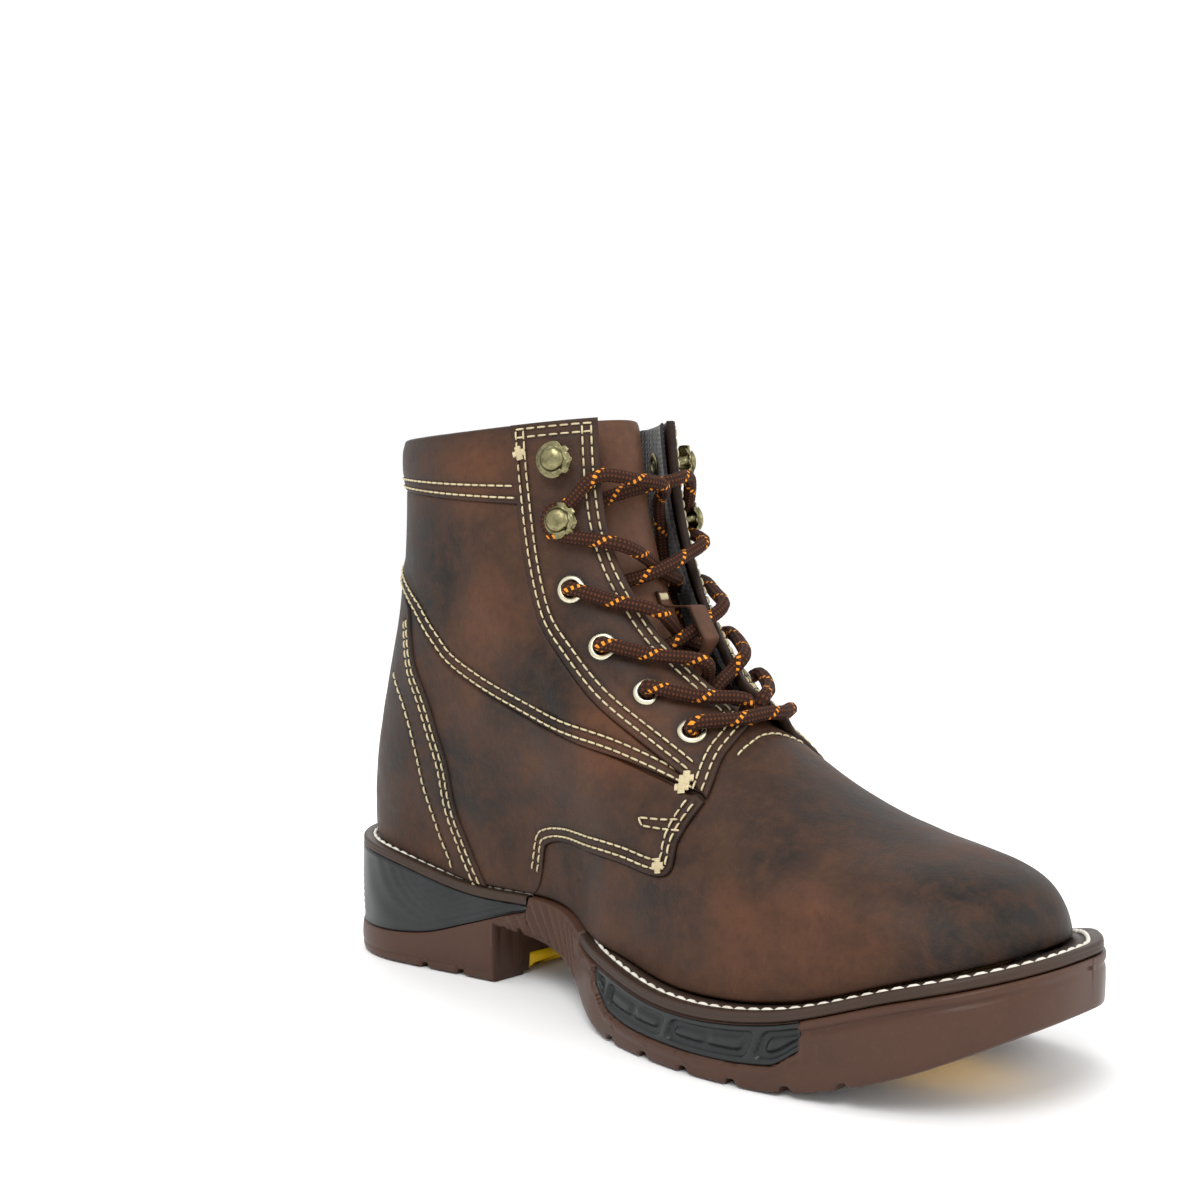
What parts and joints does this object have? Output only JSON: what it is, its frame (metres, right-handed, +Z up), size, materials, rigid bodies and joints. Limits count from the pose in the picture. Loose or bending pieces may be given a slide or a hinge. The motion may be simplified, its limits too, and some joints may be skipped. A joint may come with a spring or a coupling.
{
  "type": "work boot",
  "caption": "Left ankle-high lace-up safety work boot with a square steel toe cap, welted rubber lug sole, padded tongue and removable footbed.",
  "frame": {"origin": "on the ground, at the centre of the boot's box seen from above", "axes": "+X to the toe, along the sole's length; +Y to the lateral (outer) side of this left boot; +Z up"},
  "size_m": [0.31, 0.1116, 0.2024],
  "materials": {
    "upper_leather": "waxed oiled full-grain leather, mottled brown",
    "tongue_leather": "soft oiled leather, warm brown",
    "lining_mesh": "dark knitted mesh lining",
    "collar_foam": "open-cell foam",
    "outsole_rubber": "moulded brown rubber, satin",
    "tread_insert_rubber": "yellow rubber, satin with raised circles",
    "black_rubber": "black moulded rubber, satin",
    "welt_rubber": "brown welt strip, matte",
    "pressed_steel": "pressed and hardened sheet",
    "edge_strip_foam": "soft rubber strip",
    "counter_board": "moulded fibre and resin board",
    "insole_fibre": "pressed fibre board",
    "cork_filler": "cork granules and binder",
    "footbed_foam": "foam with a cloth top",
    "eyelet_brass": "pale polished brass",
    "hook_brass": "antique brass, rubbed bright on the dome",
    "lace_braid": "round braid, dark brown with orange flecks",
    "aglet_plastic": "clear-coated dark plastic"
  },
  "bodies": {
    "boot": {"aglet_1": "aglet_plastic", "aglet_2": "aglet_plastic", "backstay": "upper_leather", "bottom_filler": "cork_filler", "collar_lateral": "upper_leather", "collar_medial": "upper_leather", "collar_padding": "collar_foam", "eyelet_lateral_1": "eyelet_brass", "eyelet_lateral_2": "eyelet_brass", "eyelet_lateral_3": "eyelet_brass", "eyelet_lateral_4": "eyelet_brass", "eyelet_medial_1": "eyelet_brass", "eyelet_medial_2": "eyelet_brass", "eyelet_medial_3": "eyelet_brass", "eyelet_medial_4": "eyelet_brass", "eyestay_lateral": "upper_leather", "eyestay_medial": "upper_leather", "forefoot_tread_insert": "tread_insert_rubber", "heel_counter": "counter_board", "heel_foxing": "upper_leather", "heel_tread_insert": "tread_insert_rubber", "heel_wedge": "black_rubber", "hook_lateral_1": "hook_brass", "hook_lateral_2": "hook_brass", "hook_medial_1": "hook_brass", "hook_medial_2": "hook_brass", "hook_washer_lateral_1": "hook_brass", "hook_washer_lateral_2": "hook_brass", "hook_washer_medial_1": "hook_brass", "hook_washer_medial_2": "hook_brass", "insole_board": "insole_fibre", "lace": "lace_braid", "midsole_window_lateral": "black_rubber", "midsole_window_medial": "black_rubber", "outsole": "outsole_rubber", "quarter_lateral": "upper_leather", "quarter_lining": "lining_mesh", "quarter_medial": "upper_leather", "shaft_lateral": "upper_leather", "shaft_medial": "upper_leather", "shank": "pressed_steel", "steel_toe_cap": "pressed_steel", "toe_cap_edge_strip": "edge_strip_foam", "vamp": "upper_leather", "vamp_lining": "lining_mesh", "waist_plate": "black_rubber", "welt_forefoot": "welt_rubber", "welt_heel": "welt_rubber"},
    "tongue_flap": {"tongue": "tongue_leather", "lace_keeper": "tongue_leather"},
    "footbed_insert": {"footbed": "footbed_foam"}
  },
  "joints": [
    {"name": "tongue_flex", "type": "hinge", "parent": "boot", "child": "tongue_flap", "pos_m": [0.043, 0.0007, 0.0895], "axis": [0, -1, 0], "range_deg": [0, 1.5]},
    {"name": "footbed_lift", "type": "hinge", "parent": "boot", "child": "footbed_insert", "pos_m": [0.128, 0.0007, 0.046], "axis": [0, 1, 0], "range_deg": [0, 4]}
  ]
}
